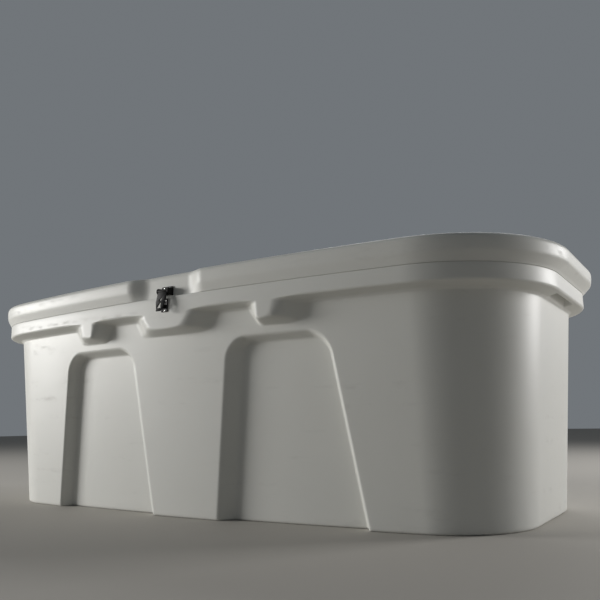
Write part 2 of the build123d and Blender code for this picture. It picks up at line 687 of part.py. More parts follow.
hasp_tilt = radians(HASP_REST_DEG)
hasp_out = (0, -cos(hasp_tilt), sin(hasp_tilt))
hasp_down = (0, -sin(hasp_tilt), -cos(hasp_tilt))
hasp_pivot = (-HASP_HALF_WIDTH, LATCH_PIN_Y, LATCH_PIN_Z)
hasp_side = Plane(origin=hasp_pivot, x_dir=hasp_down, z_dir=(1, 0, 0))
hasp_front = Plane(origin=(0, LATCH_PIN_Y, LATCH_PIN_Z), x_dir=(1, 0, 0), z_dir=hasp_out)

with BuildPart() as latch_hasp:
    half_plate = LATCH_PLATE / 2
    with BuildSketch(hasp_side):
        Circle(LATCH_BARREL_RADIUS)
        with BuildLine():
            Polyline(
                (0, half_plate),
                (HASP_LENGTH, half_plate),
                *[(HASP_LENGTH + down, out) for down, out in HASP_LIP],
                (HASP_LENGTH, -half_plate),
                (0, -half_plate),
                close=True,
            )
        make_face()
    extrude(amount=2 * HASP_HALF_WIDTH)
    with BuildSketch(hasp_front):
        with BuildLine():
            Polyline(
                (-HASP_HALF_WIDTH, 6),
                (HASP_HALF_WIDTH, 6),
                (HASP_HALF_WIDTH, -HASP_WINDOW[0]),
                (6, -HASP_LENGTH - 8),
                (-6, -HASP_LENGTH - 8),
                (-HASP_HALF_WIDTH, -HASP_WINDOW[0]),
                close=True,
            )
        make_face()
        with Locations((0, -HASP_HOLE_AT)):
            Circle(HASP_HOLE_RADIUS, mode=Mode.SUBTRACT)
        with BuildLine():
            Polyline(
                (0, -HASP_WINDOW[0]),
                (HASP_WINDOW[2], -HASP_WINDOW[1]),
                (-HASP_WINDOW[2], -HASP_WINDOW[1]),
                close=True,
            )
        make_face(mode=Mode.SUBTRACT)
    extrude(amount=12, both=True, mode=Mode.INTERSECT)
    with BuildSketch(hasp_side.offset(-1)):
        Circle(LATCH_PIN_RADIUS + RUNNING)
    extrude(amount=2 * HASP_HALF_WIDTH + 2, mode=Mode.SUBTRACT)

with BuildPart() as latch_staple:
    with BuildSketch(Plane.XZ.offset(-FRONT_FACE_Y)):
        with Locations((0, 0.5 * (STAPLE_TOP + STAPLE_BOTTOM))):
            RectangleRounded(2 * STAPLE_HALF_WIDTH, STAPLE_TOP - STAPLE_BOTTOM, 2.5)
    extrude(amount=LATCH_PLATE)
    with BuildSketch(Plane.YZ.offset(-EYE_THICK / 2)) as eye_plate:
        with BuildLine():
            Polyline(
                (FRONT_FACE_Y, EYE_BOTTOM),
                (EYE_TIP_Y, EYE_BOTTOM),
                (EYE_TIP_Y, EYE_TOP),
                (FRONT_FACE_Y, EYE_TOP),
                close=True,
            )
        make_face()
        fillet(eye_plate.vertices().group_by(Axis.Y)[0], radius=3.5)
        with Locations((PADLOCK_EYE[0], PADLOCK_EYE[1])):
            Circle(PADLOCK_EYE[2], mode=Mode.SUBTRACT)
    extrude(amount=EYE_THICK)
    with BuildSketch(Plane.XZ.offset(-FRONT_FACE_Y)):
        with Locations(*[(x, z) for x, y, z in staple_screws]):
            Circle(LATCH_SCREW_RADIUS + FIXED)
    extrude(amount=LATCH_PLATE, mode=Mode.SUBTRACT)
    with BuildSketch(Plane.XZ.offset(-FRONT_FACE_Y + LATCH_PLATE - LATCH_HEAD_HEIGHT)):
        with Locations(*[(x, z) for x, y, z in staple_screws]):
            Circle(LATCH_HEAD_RADIUS + FIXED)
    extrude(amount=LATCH_HEAD_HEIGHT, mode=Mode.SUBTRACT)

latch_staple_screws = pan_screws(
    lifted(staple_screws, FORWARD, LATCH_PLATE - LATCH_HEAD_HEIGHT), FORWARD,
    LATCH_SCREW_RADIUS, LATCH_SCREW_LENGTH, LATCH_HEAD_RADIUS, LATCH_HEAD_HEIGHT,
)


# ---------------------------------------------------------------- drain in the left end
OUT_LEFT = (-1, 0, 0)


def drain_plane(x):
    """Upright plane across the drain at x, facing out of the left end."""
    return Plane(origin=(x, 0, DRAIN_Z), x_dir=(0, -1, 0), z_dir=OUT_LEFT)


with BuildPart() as drain_gasket:
    with BuildSketch(drain_plane(drain_seat_x)):
        Circle(DRAIN_FLANGE_RADIUS - 2)
        Circle(DRAIN_TUBE_RADIUS + FIXED, mode=Mode.SUBTRACT)
    extrude(amount=DRAIN_SEAL_THICK)

with BuildPart() as drain_fitting:
    with BuildSketch(drain_plane(drain_flange_x)):
        Circle(DRAIN_FLANGE_RADIUS)
    extrude(amount=DRAIN_FLANGE_THICK)
    chamfer(drain_fitting.edges().group_by(Axis.X)[0], length=2)
    with BuildSketch(drain_plane(drain_tube_end_x)):
        Circle(DRAIN_TUBE_RADIUS)
    extrude(amount=drain_tube_end_x - drain_flange_x)
    with BuildSketch(drain_plane(drain_tube_end_x)):
        Circle(DRAIN_BORE_RADIUS)
    extrude(amount=drain_tube_end_x - drain_face_x, mode=Mode.SUBTRACT)

with BuildPart() as drain_nut:
    with BuildSketch(drain_plane(drain_pad_x + DRAIN_NUT_THICK)):
        RegularPolygon(DRAIN_NUT_RADIUS, 6)
        Circle(DRAIN_TUBE_RADIUS + FIXED, mode=Mode.SUBTRACT)
    extrude(amount=DRAIN_NUT_THICK)

with BuildPart() as drain_plug_washer:
    with BuildSketch(drain_plane(drain_face_x)):
        Circle(PLUG_KNOB_RADIUS - 1)
        Circle(DRAIN_BORE_RADIUS + 0.3, mode=Mode.SUBTRACT)
    extrude(amount=PLUG_WASHER_THICK)

with BuildPart() as drain_plug:
    knob_x = drain_face_x - PLUG_WASHER_THICK
    with BuildSketch(drain_plane(knob_x)):
        Circle(PLUG_KNOB_RADIUS)
        with PolarLocations(PLUG_KNOB_RADIUS + 1.5, 12):
            Circle(2.6, mode=Mode.SUBTRACT)
    extrude(amount=PLUG_KNOB_THICK)
    with BuildSketch(drain_plane(knob_x - PLUG_KNOB_THICK)):
        SlotOverall(2 * PLUG_KNOB_RADIUS - 6, 8)
    extrude(amount=PLUG_GRIP_LENGTH)
    with BuildSketch(drain_plane(knob_x)):
        Circle(DRAIN_BORE_RADIUS - RUNNING)
    extrude(amount=-PLUG_WASHER_THICK - PLUG_STEM_LENGTH)
    chamfer(drain_plug.edges().group_by(Axis.X)[-1], length=1)


# ---------------------------------------------------------------- one STEP file for each piece
pieces = {
    "body_shell": body_shell.part,
    "body_foam": body_foam.part,
    "body_liner": body_liner.part,
    "foam_fill_plugs": foam_fill_plugs.part,
    "lid_shell": lid_shell.part,
    "lid_foam": lid_foam.part,
    "lid_liner": lid_liner.part,
    "lid_gasket": lid_gasket.part,
    "hinge_body_screws": hinge_body_screws,
    "hinge_lid_screws": hinge_lid_screws,
    "latch_bracket": latch_bracket.part,
    "latch_bracket_screws": latch_bracket_screws,
    "latch_pin": latch_pin.part,
    "latch_hasp": latch_hasp.part,
    "latch_staple": latch_staple.part,
    "latch_staple_screws": latch_staple_screws,
    "drain_fitting": drain_fitting.part,
    "drain_gasket": drain_gasket.part,
    "drain_nut": drain_nut.part,
    "drain_plug_washer": drain_plug_washer.part,
    "drain_plug": drain_plug.part,
}
for name, centre_x in zip(HINGE_NAMES, HINGE_X):
    pieces[f"hinge_{name}_body_leaf"] = hinge_leaf(centre_x, -1)
    pieces[f"hinge_{name}_lid_leaf"] = hinge_leaf(centre_x, 1)
    pieces[f"hinge_{name}_pin"] = hinge_pin(centre_x)

for name, piece in pieces.items():
    piece.label = name
    export_step(piece, f"parts/{name}.step")
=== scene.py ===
"""Looks for the long insulated chest: moulded skins, tub, seal, hinges, latch and drain."""

import json
from math import atan2, cos, hypot, pi, radians, sin, sqrt

import bmesh
import bpy
from mathutils import Matrix, Vector

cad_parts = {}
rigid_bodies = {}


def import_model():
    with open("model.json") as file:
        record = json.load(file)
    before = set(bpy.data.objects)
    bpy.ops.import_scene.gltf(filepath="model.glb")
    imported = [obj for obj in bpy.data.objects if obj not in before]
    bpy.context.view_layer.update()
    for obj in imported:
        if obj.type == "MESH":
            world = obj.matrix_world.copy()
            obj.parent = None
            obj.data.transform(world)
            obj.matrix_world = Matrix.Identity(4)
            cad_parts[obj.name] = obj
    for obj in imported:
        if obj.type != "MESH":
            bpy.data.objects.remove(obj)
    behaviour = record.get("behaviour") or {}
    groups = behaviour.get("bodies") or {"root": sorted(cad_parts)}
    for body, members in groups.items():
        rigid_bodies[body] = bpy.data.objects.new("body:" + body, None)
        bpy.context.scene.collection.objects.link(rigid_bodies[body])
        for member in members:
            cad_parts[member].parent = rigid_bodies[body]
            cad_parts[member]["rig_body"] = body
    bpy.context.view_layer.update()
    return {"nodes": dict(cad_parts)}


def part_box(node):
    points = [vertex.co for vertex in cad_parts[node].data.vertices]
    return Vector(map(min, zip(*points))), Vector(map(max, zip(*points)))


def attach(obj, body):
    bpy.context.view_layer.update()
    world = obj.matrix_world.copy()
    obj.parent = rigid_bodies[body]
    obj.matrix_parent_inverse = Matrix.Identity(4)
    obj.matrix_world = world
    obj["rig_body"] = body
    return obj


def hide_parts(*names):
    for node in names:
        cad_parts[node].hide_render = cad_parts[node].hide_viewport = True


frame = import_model()
MM = 0.001

# ---------------------------------------------------------------- camera
# A normal lens close to the floor, off the right front corner of the chest, tipped up a little
# and turned very slightly to one side.
EYE = Vector((1.0511, -1.4683, 0.2043))
HEADING = radians(-32.54)
PITCH = radians(10.58)
TURN = radians(-0.88)
ahead = Vector((sin(HEADING) * cos(PITCH), cos(HEADING) * cos(PITCH), sin(PITCH)))
right = Vector((cos(HEADING), -sin(HEADING), 0.0))
above = right.cross(ahead)
right, above = (
    right * cos(TURN) + above * sin(TURN),
    above * cos(TURN) - right * sin(TURN),
)
lens = bpy.data.cameras.new("long_view")
lens.sensor_width = 36.0
lens.lens = 39.6
lens.clip_start = 0.01
eye = bpy.data.objects.new("long_view", lens)
eye.matrix_world = Matrix((
    (right.x, above.x, -ahead.x, EYE.x),
    (right.y, above.y, -ahead.y, EYE.y),
    (right.z, above.z, -ahead.z, EYE.z),
    (0, 0, 0, 1),
))
bpy.context.scene.collection.objects.link(eye)
bpy.context.scene.camera = eye

# ---------------------------------------------------------------- moulded white polyethylene
# The skins are rotationally moulded polyethylene: warm white, satin, a fine orange-peel grain
# and slow waves where the wall has cooled unevenly, with faint handling scuffs along it.
PLASTIC_WHITE = (0.70, 0.70, 0.665)
PLASTIC_SHADE = (0.655, 0.65, 0.61)


def moulded_plastic(name, white, shade, roughness, grain=1.0, scuffs=1.0):
    """Satin moulded plastic with slow waves, fine grain and faint scuffs."""
    skin = bpy.data.materials.new(name)
    skin.use_nodes = True
    tree = skin.node_tree
    shader = tree.nodes["Principled BSDF"]
    shader.inputs["IOR"].default_value = 1.50
    shader.inputs["Specular IOR Level"].default_value = 0.30
    shader.inputs["Subsurface Weight"].default_value = 0.06
    shader.inputs["Subsurface Radius"].default_value = (0.004, 0.0036, 0.003)
    place = tree.nodes.new("ShaderNodeTexCoord")

    def noise(scale, detail, stretch=(1, 1, 1)):
        """Noise in the piece's own metres, pulled out along an axis by a small factor."""
        sized = tree.nodes.new("ShaderNodeMapping")
        sized.inputs["Scale"].default_value = stretch
        tree.links.new(place.outputs["Object"], sized.inputs["Vector"])
        grains = tree.nodes.new("ShaderNodeTexNoise")
        grains.inputs["Scale"].default_value = scale
        grains.inputs["Detail"].default_value = detail
        tree.links.new(sized.outputs["Vector"], grains.inputs["Vector"])
        return grains.outputs["Fac"]

    def banded(value, low, high, out_low, out_high):
        """Value between low and high, spread over out_low to out_high and clamped."""
        span = tree.nodes.new("ShaderNodeMapRange")
        for socket, number in zip(("From Min", "From Max", "To Min", "To Max"),
                                  (low, high, out_low, out_high)):
            span.inputs[socket].default_value = number
        tree.links.new(value, span.inputs["Value"])
        return span.outputs["Result"]

    clouds = noise(2.6, 3)
    tint = tree.nodes.new("ShaderNodeMix")
    tint.data_type = "RGBA"
    tint.inputs["A"].default_value = (*white, 1)
    tint.inputs["B"].default_value = (*shade, 1)
    tree.links.new(banded(clouds, 0.40, 0.72, 0.0, 0.55), tint.inputs["Factor"])

    streaks = noise(26, 5, (0.12, 0.12, 1.6))
    specks = noise(60, 4, (0.5, 0.5, 1.0))
    marks = tree.nodes.new("ShaderNodeMath")
    marks.operation = "MULTIPLY"
    tree.links.new(banded(streaks, 0.56, 0.74, 0.0, 1.0), marks.inputs[0])
    tree.links.new(banded(specks, 0.50, 0.66, 0.0, 1.0), marks.inputs[1])
    scuffed = tree.nodes.new("ShaderNodeMix")
    scuffed.data_type = "RGBA"
    scuffed.inputs["B"].default_value = (0.50, 0.49, 0.46, 1)
    tree.links.new(tint.outputs["Result"], scuffed.inputs["A"])
    tree.links.new(banded(marks.outputs["Value"], 0.0, 1.0, 0.0, 0.34 * scuffs),
                   scuffed.inputs["Factor"])
    tree.links.new(scuffed.outputs["Result"], shader.inputs["Base Color"])

    gloss = tree.nodes.new("ShaderNodeMath")
    gloss.operation = "ADD"
    tree.links.new(banded(clouds, 0.3, 0.7, roughness - 0.03, roughness + 0.04), gloss.inputs[0])
    tree.links.new(banded(marks.outputs["Value"], 0.0, 1.0, 0.0, 0.18 * scuffs), gloss.inputs[1])
    tree.links.new(gloss.outputs["Value"], shader.inputs["Roughness"])

    waves = tree.nodes.new("ShaderNodeBump")
    waves.inputs["Distance"].default_value = 0.0016
    waves.inputs["Strength"].default_value = 0.35
    tree.links.new(noise(7.5, 2, (0.6, 0.6, 1.3)), waves.inputs["Height"])
    peel = tree.nodes.new("ShaderNodeBump")
    peel.inputs["Distance"].default_value = 0.00012
    peel.inputs["Strength"].default_value = 0.5 * grain
    tree.links.new(noise(520, 3), peel.inputs["Height"])
    tree.links.new(waves.outputs["Normal"], peel.inputs["Normal"])
    tree.links.new(peel.outputs["Normal"], shader.inputs["Normal"])
    return skin


chest_skin = moulded_plastic("chest_skin", PLASTIC_WHITE, PLASTIC_SHADE, 0.44)

# ---------------------------------------------------------------- body skin
# One big hollow moulding: walls that lean out, a bowed front with two sunk panels open at the
# floor, and a rim band round the top that drops down in front as a tongue and two tabs.
rim_low, rim_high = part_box("body_shell")
RIM_OUT = 75.0                       # rim band out from the plan outline at the floor
HALF_LENGTH = rim_high.x / MM - RIM_OUT
BACK_Y = rim_high.y / MM - RIM_OUT
FRONT_Y = rim_low.y / MM + RIM_OUT
RIM_TOP = rim_high.z / MM
CORNER = 182.0
BOW = 30.0
WALL_TOP = 450.0
SLOPE = 41.0 / WALL_TOP
RIM_UNDER = 456.0
RIM_ROUND = (6.0, 1.2)               # along the rim band's lower and upper edges
FOOT_ROUND = 6.0
SKIN = 6.0
FRONT_FACING = -0.98                 # an outward y below this is on the bowed front
END_FACING = 0.999                   # an outward x past this is on an end
corner_x = HALF_LENGTH - CORNER
bow_radius = (corner_x**2 + BOW**2) / (2 * BOW)
bow_centre_y = FRONT_Y + bow_radius
back_corner_y = BACK_Y - CORNER
front_corner_y = bow_centre_y - sqrt((bow_radius - CORNER) ** 2 - corner_x**2)
bow_angle = atan2(corner_x, bow_centre_y - front_corner_y)


def spread(start, end, step):
    """Even steps from start up to but not including end, each about step long."""
    count = max(1, round(abs(end - start) / step))
    return [start + (end - start) * i / count for i in range(count)]


def plan_columns(front_step, end_step, back_step, corner_step=2.5):
    """Anticlockwise (foot x, foot y, out x, out y) round the plan outline at the floor."""
    feet = []

    def corner(centre_x, centre_y, start, end):
        """Columns round one corner of the plan, between two angles."""
        for turn in spread(start, end, radians(corner_step)):
            out = (cos(turn), sin(turn))
            feet.append((centre_x + CORNER * out[0], centre_y + CORNER * out[1], *out))

    for turn in spread(-bow_angle, bow_angle, front_step / bow_radius):
        out = (sin(turn), -cos(turn))
        feet.append((bow_radius * out[0], bow_centre_y + bow_radius * out[1], *out))
    corner(corner_x, front_corner_y, bow_angle - pi / 2, 0.0)
    for y in spread(front_corner_y, back_corner_y, end_step):
        feet.append((HALF_LENGTH, y, 1.0, 0.0))
    corner(corner_x, back_corner_y, 0.0, pi / 2)
    for x in spread(corner_x, -corner_x, back_step):
        feet.append((x, BACK_Y, 0.0, 1.0))
    corner(-corner_x, back_corner_y, pi / 2, pi)
    for y in spread(back_corner_y, front_corner_y, end_step):
        feet.append((-HALF_LENGTH, y, -1.0, 0.0))
    corner(-corner_x, front_corner_y, pi, 1.5 * pi - bow_angle)
    return feet


def ramp(t, ease=0.3):
    """0 to 1 along a straight ramp from t = 0 to 1, with a round fillet at each end."""
    if t <= -ease:
        return 0.0
    if t >= 1 + ease:
        return 1.0
    if t < ease:
        return (t + ease) ** 2 / (4 * ease)
    if t > 1 - ease:
        return 1 - (1 + ease - t) ** 2 / (4 * ease)
    return t


def lower_of(a, b, blend):
    """The smaller of two values, rounded over where they are within blend of each other."""
    mix = max(blend - abs(a - b), 0.0) / blend
    return min(a, b) - mix * mix * blend / 4


def lerp(a, b, t):
    """The value a share t of the way from a to b."""
    return a + (b - a) * t


def skin_mesh(name, columns, rows, point, cap_low, cap_high):
    """Closed rings of points, one ring a row, joined by quads, with flat caps where wanted."""
    work = bmesh.new()
    rings = []
    for row in rows:
        rings.append([work.verts.new([c * MM for c in point(foot, row)]) for foot in columns])
    around = len(columns)
    for lower, upper in zip(rings, rings[1:]):
        for i in range(around):
            j = (i + 1) % around
            work.faces.new((lower[i], lower[j], upper[j], upper[i]))
    if cap_low:
        work.faces.new(list(reversed(rings[0])))
    if cap_high:
        work.faces.new(rings[-1])
    for face in work.faces:
        face.smooth = True
    mesh = bpy.data.meshes.new(name)
    work.to_mesh(mesh)
    work.free()
    piece = bpy.data.objects.new(name, mesh)
    bpy.context.scene.collection.objects.link(piece)
    return piece


def thicken(piece, thickness):
    """Gives an open skin its moulded wall thickness, inwards."""
    wall = piece.modifiers.new("wall", "SOLIDIFY")
    wall.thickness = thickness * MM
    wall.offset = -1.0
    bpy.context.view_layer.update()
    solid = bpy.data.meshes.new_from_object(
        piece.evaluated_get(bpy.context.evaluated_depsgraph_get())
    )
    piece.modifiers.clear()
    piece.data = solid


PANEL_TOP = 390.0
PANEL_DEPTH = 26.5
PANEL_RAMPS = (26.0, 11.0, 11.0)     # width of the slope towards the middle, the end and the top
PANEL_CORNER = 48.0
PANEL_INNER = (96.0, 146.0)          # edges at the floor and at the top
PANEL_OUTER = (451.0, 388.0)
PANEL_EASE = 0.18                    # how round the slopes' edges are
HANG_BOTTOM = 415.0                  # bottom of the tongue and the tabs
HANG_UNDER = (5.0, 7.0)              # their underside: how far below that it starts, its height
HANG_EASE = 0.35
TONGUE_FACE = (81.0, 51.0)           # half widths at the rim and at the bottom
TONGUE_FOOT = (122.0, 97.0)
TAB_INNER_FACE = (239.0, 245.0)
TAB_INNER_FOOT = (207.0, 232.0)
TAB_OUTER_FACE = (300.0, 285.0)
TAB_OUTER_FOOT = (352.0, 324.0)
UNDER_START = WALL_TOP - 4           # the wall rounds into the rim's underside from here
UNDER_RISE = (4.0, 6.0)              # height of that rounding, then of the sloped underside
GRIP_X = (46.0, 64.0)                # finger pocket, out from the end's foot
GRIP_HALF = 79.0
GRIP_DEEP = 20.0
GRIP_SLOPES = (6.0, 9.0)             # width of its sides' slopes, across and along
seat_low, seat_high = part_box("drain_gasket")
DRAIN_Z = (seat_low.z + seat_high.z) / 2 / MM
SEAT_X = seat_high.x / MM
SEAT_RADIUS = 29.0
SEAT_BLEND = 2.0
LINER_EDGE = -7.0                    # the rim's top runs in to here, where the tub takes over


def panel_depth(x, z):
    """How far the two panels are sunk into the front wall at a point."""
    share = z / PANEL_TOP
    from_inner = abs(x) - lerp(*PANEL_INNER, share)
    from_outer = lerp(*PANEL_OUTER, share) - abs(x)
    side, slope = min((from_inner, PANEL_RAMPS[0]), (from_outer, PANEL_RAMPS[1]))
    top = PANEL_TOP - z
    down = min(side / slope, top / PANEL_RAMPS[2])
    if side < PANEL_CORNER and top < PANEL_CORNER:
        across, up = PANEL_CORNER - side, PANEL_CORNER - top
        slope = lerp(slope, PANEL_RAMPS[2], (up / hypot(across, up)) ** 2)
        down = (PANEL_CORNER - hypot(across, up)) / slope
    return PANEL_DEPTH * ramp(down, PANEL_EASE)


def hanging(x, z):
    """1 on the faces of the tongue and the tabs, 0 on the wall beside them."""
    down = (RIM_UNDER - z) / (RIM_UNDER - HANG_BOTTOM)
    foot = (z - HANG_BOTTOM + HANG_UNDER[0]) / HANG_UNDER[1]
    half_face, half_foot = lerp(*TONGUE_FACE, down), lerp(*TONGUE_FOOT, down)
    tongue = (half_foot - abs(x)) / (half_foot - half_face)
    face, toe = lerp(*TAB_INNER_FACE, down), lerp(*TAB_INNER_FOOT, down)
    inner = (abs(x) - toe) / (face - toe)
    face, toe = lerp(*TAB_OUTER_FACE, down), lerp(*TAB_OUTER_FOOT, down)
    outer = (toe - abs(x)) / (toe - face)
    tongue = ramp(lower_of(tongue, foot, 1.1), HANG_EASE)
    tab = ramp(lower_of(min(inner, outer), foot, 1.0), HANG_EASE)
    return max(tongue, tab)


def wall_out(foot, z):
    """Offset of the body's wall below the rim, with every feature moulded into it."""
    plain = SLOPE * z
    x, y, out_x, out_y = foot
    if out_y < FRONT_FACING:
        plain -= panel_depth(x, z)
        if z > PANEL_TOP:
            plain = lerp(plain, RIM_OUT, hanging(x, z))
    if out_x < -END_FACING:
        away = hypot(y, z - DRAIN_Z)
        flat = -SEAT_X - HALF_LENGTH
        plain = lerp(flat, plain, ramp((away - SEAT_RADIUS) / SEAT_BLEND, 0.5))
    return plain


def body_point(foot, row):
    """Point of the body's skin: row says which stretch of the profile, and how far along it."""
    stretch, t = row
    x, y, out_x, out_y = foot
    low_round, high_round = RIM_ROUND
    if out_y < FRONT_FACING:
        low_round *= 1 - hanging(x, RIM_UNDER)
    if stretch == "foot":
        turn = t * pi / 2
        z = FOOT_ROUND * (1 - cos(turn))
        offset = wall_out(foot, FOOT_ROUND) - FOOT_ROUND * (1 - sin(turn))
    elif stretch == "wall":
        z = t
        offset = wall_out(foot, z)
    elif stretch == "under":
        start = wall_out(foot, UNDER_START)
        reach = RIM_OUT - low_round - start
        z = UNDER_START + UNDER_RISE[0] * ramp(t * 6) + UNDER_RISE[1] * t
        offset = start + reach * t
        if abs(out_x) > END_FACING:
            across = min(offset - GRIP_X[0], GRIP_X[1] - offset)
            along = GRIP_HALF - abs(y)
            inside = lower_of(across / GRIP_SLOPES[0], along / GRIP_SLOPES[1], 0.3)
            z += GRIP_DEEP * ramp(inside, 0.35)
    elif stretch == "rim":
        z = lerp(RIM_UNDER, RIM_TOP, t)
        low = max(0.0, low_round - (z - RIM_UNDER))
        high = max(0.0, high_round - (RIM_TOP - z))
        offset = RIM_OUT - low_round + sqrt(max(0.0, low_round**2 - low**2))
        offset -= high_round - sqrt(max(0.0, high_round**2 - high**2))
    else:
        z = RIM_TOP
        offset = lerp(RIM_OUT - high_round, LINER_EDGE, t)
    return x + out_x * offset, y + out_y * offset, z


body_rows = [("foot", i / 4) for i in range(4)]
panel_zone, hanging_zone = PANEL_TOP - 66, HANG_BOTTOM - 11
body_rows += [("wall", z) for z in spread(FOOT_ROUND, panel_zone, 7.0)]
body_rows += [("wall", z) for z in spread(panel_zone, hanging_zone, 3.0)]
body_rows += [("wall", z) for z in spread(hanging_zone, UNDER_START, 2.0)]
body_rows += [("under", i / 16) for i in range(16)]
body_rows += [("rim", t) for t in (0.0, 0.01, 0.03, 0.06, 0.1, 0.14, 0.18, 0.4, 0.7)]
body_rows += [("rim", t) for t in (0.966, 0.98, 0.992, 1.0)]
body_rows += [("top", t) for t in (0.2, 0.6, 1.0)]
body_columns = plan_columns(3.2, 4.0, 14.0)
body_skin = skin_mesh("body_skin", body_columns, body_rows, body_point, True, False)
thicken(body_skin, SKIN)
body_skin.data.materials.append(chest_skin)
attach(body_skin, "body")
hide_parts("body_shell")

# ---------------------------------------------------------------- lid skin
# The lid is a second hollow moulding with a bevelled, overhanging edge. Its edge is set back
# in a recess for the latch in front, and flush with the rim in three hinge pockets behind.
lid_low, lid_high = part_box("lid_shell")
LID_BOTTOM = lid_low.z / MM
LID_TOP = lid_high.z / MM
BEVEL_TOP = 512.0
BULGE = 526.0
LID_OUT = (76.0, 95.0, 97.0)         # ends and back: at the bottom, the bevel's top, the bulge
LID_FRONT = (76.0, 84.0, 85.0)
LID_HEM = 2.3                        # the hem's drip edge stands down into the gap by this much
LID_LIP = 58.0
HEM_ROUND = 0.8
LID_ROUND = 11.0
SET_BACK_ROUND = 0.45                # share of that rounding left where the edge is set back
TOP_INNER = 20.0                     # the flat top is one face inside this offset
LID_SKIN = 5.0
RECESS_OUT = 66.0                    # floor of the latch recess
NOTCH_HALF = 68.0
NOTCH_RAMP = 39.0
POCKET_HALF = 59.0
POCKET_RAMP = 20.0
POCKET_FACING = 0.97                 # an outward y past this is on the back or just round it
hinge_middles = []
for side in ("left", "middle", "right"):
    leaf_low, leaf_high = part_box(f"hinge_{side}_lid_leaf")
    hinge_middles.append((leaf_low.x + leaf_high.x) / 2 / MM)


def edge_fullness(foot):
    """1 where the lid's edge overhangs fully, 0 on the floor of the recess and the pockets."""
    x, y, out_x, out_y = foot
    if out_y < FRONT_FACING:
        along = x + out_x * LID_FRONT[2]
        return ramp((abs(along) - NOTCH_HALF) / NOTCH_RAMP, 0.25)
    if out_y > POCKET_FACING:
        along = x + out_x * LID_OUT[2]
        return min(
            ramp((abs(along - middle) - POCKET_HALF) / POCKET_RAMP, 0.2)
            for middle in hinge_middles
        )
    return 1.0


def lid_point(foot, row):
    """Point of the lid's skin from the lip underneath, out round the edge and over the top."""
    stretch, t = row
    x, y, out_x, out_y = foot
    full = edge_fullness(foot)
    front = max(0.0, -out_y)
    set_back = lerp(RIM_OUT, RECESS_OUT, front)
    bottom, bevel, bulge = [
        lerp(set_back, lerp(at_ends, at_front, front), full)
        for at_ends, at_front in zip(LID_OUT, LID_FRONT)
    ]
    hem = LID_BOTTOM - LID_HEM
    rounding = LID_ROUND * lerp(SET_BACK_ROUND, 1.0, full)
    if stretch == "lip":
        z = hem
        offset = lerp(LID_LIP, bottom - HEM_ROUND, t)
    elif stretch == "hem":
        turn = t * pi / 2
        z = hem + HEM_ROUND * (1 - cos(turn))
        offset = bottom - HEM_ROUND * (1 - sin(turn))
    elif stretch == "bevel":
        z = lerp(hem + HEM_ROUND, BULGE, t)
        corner = (BEVEL_TOP - hem - HEM_ROUND) / (BULGE - hem - HEM_ROUND)
        below = lerp(bottom, bevel, t / corner)
        beyond = lerp(bevel, bulge, (t - corner) / (1 - corner))
        offset = lower_of(below, beyond, 2.0)
    elif stretch == "round":
        turn = t * pi / 2
        z = LID_TOP - LID_ROUND * (1 - sin(turn))
        offset = bulge - rounding * (1 - cos(turn))
    else:
        z = LID_TOP
        offset = lerp(bulge - rounding, TOP_INNER, t)
    return x + out_x * offset, y + out_y * offset, z


lid_rows = [("lip", 0.0), ("lip", 0.5), ("lip", 1.0)]
lid_rows += [("hem", t) for t in (0.33, 0.67, 1.0)]
lid_rows += [("bevel", t) for t in (0.15, 0.3, 0.42, 0.48, 0.52, 0.56, 0.62, 0.75, 0.9, 1.0)]
lid_rows += [("round", i / 8) for i in range(9)]
lid_rows += [("top", t) for t in (0.12, 0.5, 1.0)]
lid_columns = plan_columns(4.0, 16.0, 5.0)
lid_skin = skin_mesh("lid_skin", lid_columns, lid_rows, lid_point, False, True)
thicken(lid_skin, LID_SKIN)
lid_skin.data.materials.append(chest_skin)
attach(lid_skin, "lid")
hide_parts("lid_shell")

# ---------------------------------------------------------------- tub and under-pan
# The tub is a smooth, slightly glossier white moulding with generous corners, easy to wipe;
# the under-pan closes the lid from below and plugs into the tub.
liner_skin = moulded_plastic("liner_skin", (0.76, 0.765, 0.75), (0.72, 0.72, 0.70), 0.30, 0.6, 0.5)


def softened(node, name, width, finish, segments=2):
    """A copy of a CAD piece with its sharp edges rounded over by width, in millimetres."""
    work = bmesh.new()
    work.from_mesh(frame["nodes"][node].data)
    bmesh.ops.remove_doubles(work, verts=work.verts, dist=0.000004)
    bmesh.ops.dissolve_limit(
        work, angle_limit=radians(1.0), verts=work.verts, edges=work.edges
    )
    mesh = bpy.data.meshes.new(name)
    work.to_mesh(mesh)
    work.free()
    piece = bpy.data.objects.new(name, mesh)
    bpy.context.scene.collection.objects.link(piece)
    edge = piece.modifiers.new("edge", "BEVEL")
    edge.width = width * MM
    edge.segments = segments
    edge.limit_method = "ANGLE"
    edge.angle_limit = radians(32)
    edge.use_clamp_overlap = True
    bpy.context.view_layer.update()
    rounded = bpy.data.meshes.new_from_object(
        piece.evaluated_get(bpy.context.evaluated_depsgraph_get())
    )
    piece.modifiers.clear()
    piece.data = rounded
    rounded.shade_smooth()
    rounded.set_sharp_from_angle(angle=radians(40))
    rounded.materials.clear()
    rounded.materials.append(finish)
    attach(piece, frame["nodes"][node]["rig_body"])
    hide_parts(node)
    return piece


TUB_FLOOR_THICK = 5.0
TUB_SKIN = 4.5                       # a little thinner than that floor
TUB_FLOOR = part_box("body_liner")[0].z / MM + TUB_FLOOR_THICK
TUB_ROUND = 12.0
TUB_EDGE = (-8.0, 4.0)               # top edge of the tub: where it starts, how far it rolls in
TUB_UPRIGHT = 471.0                  # the tub's wall is upright above this
TUB_FLOOR_IN = 40.0                  # the flat floor is one face inside this much
DRAIN_BORE = 14.1


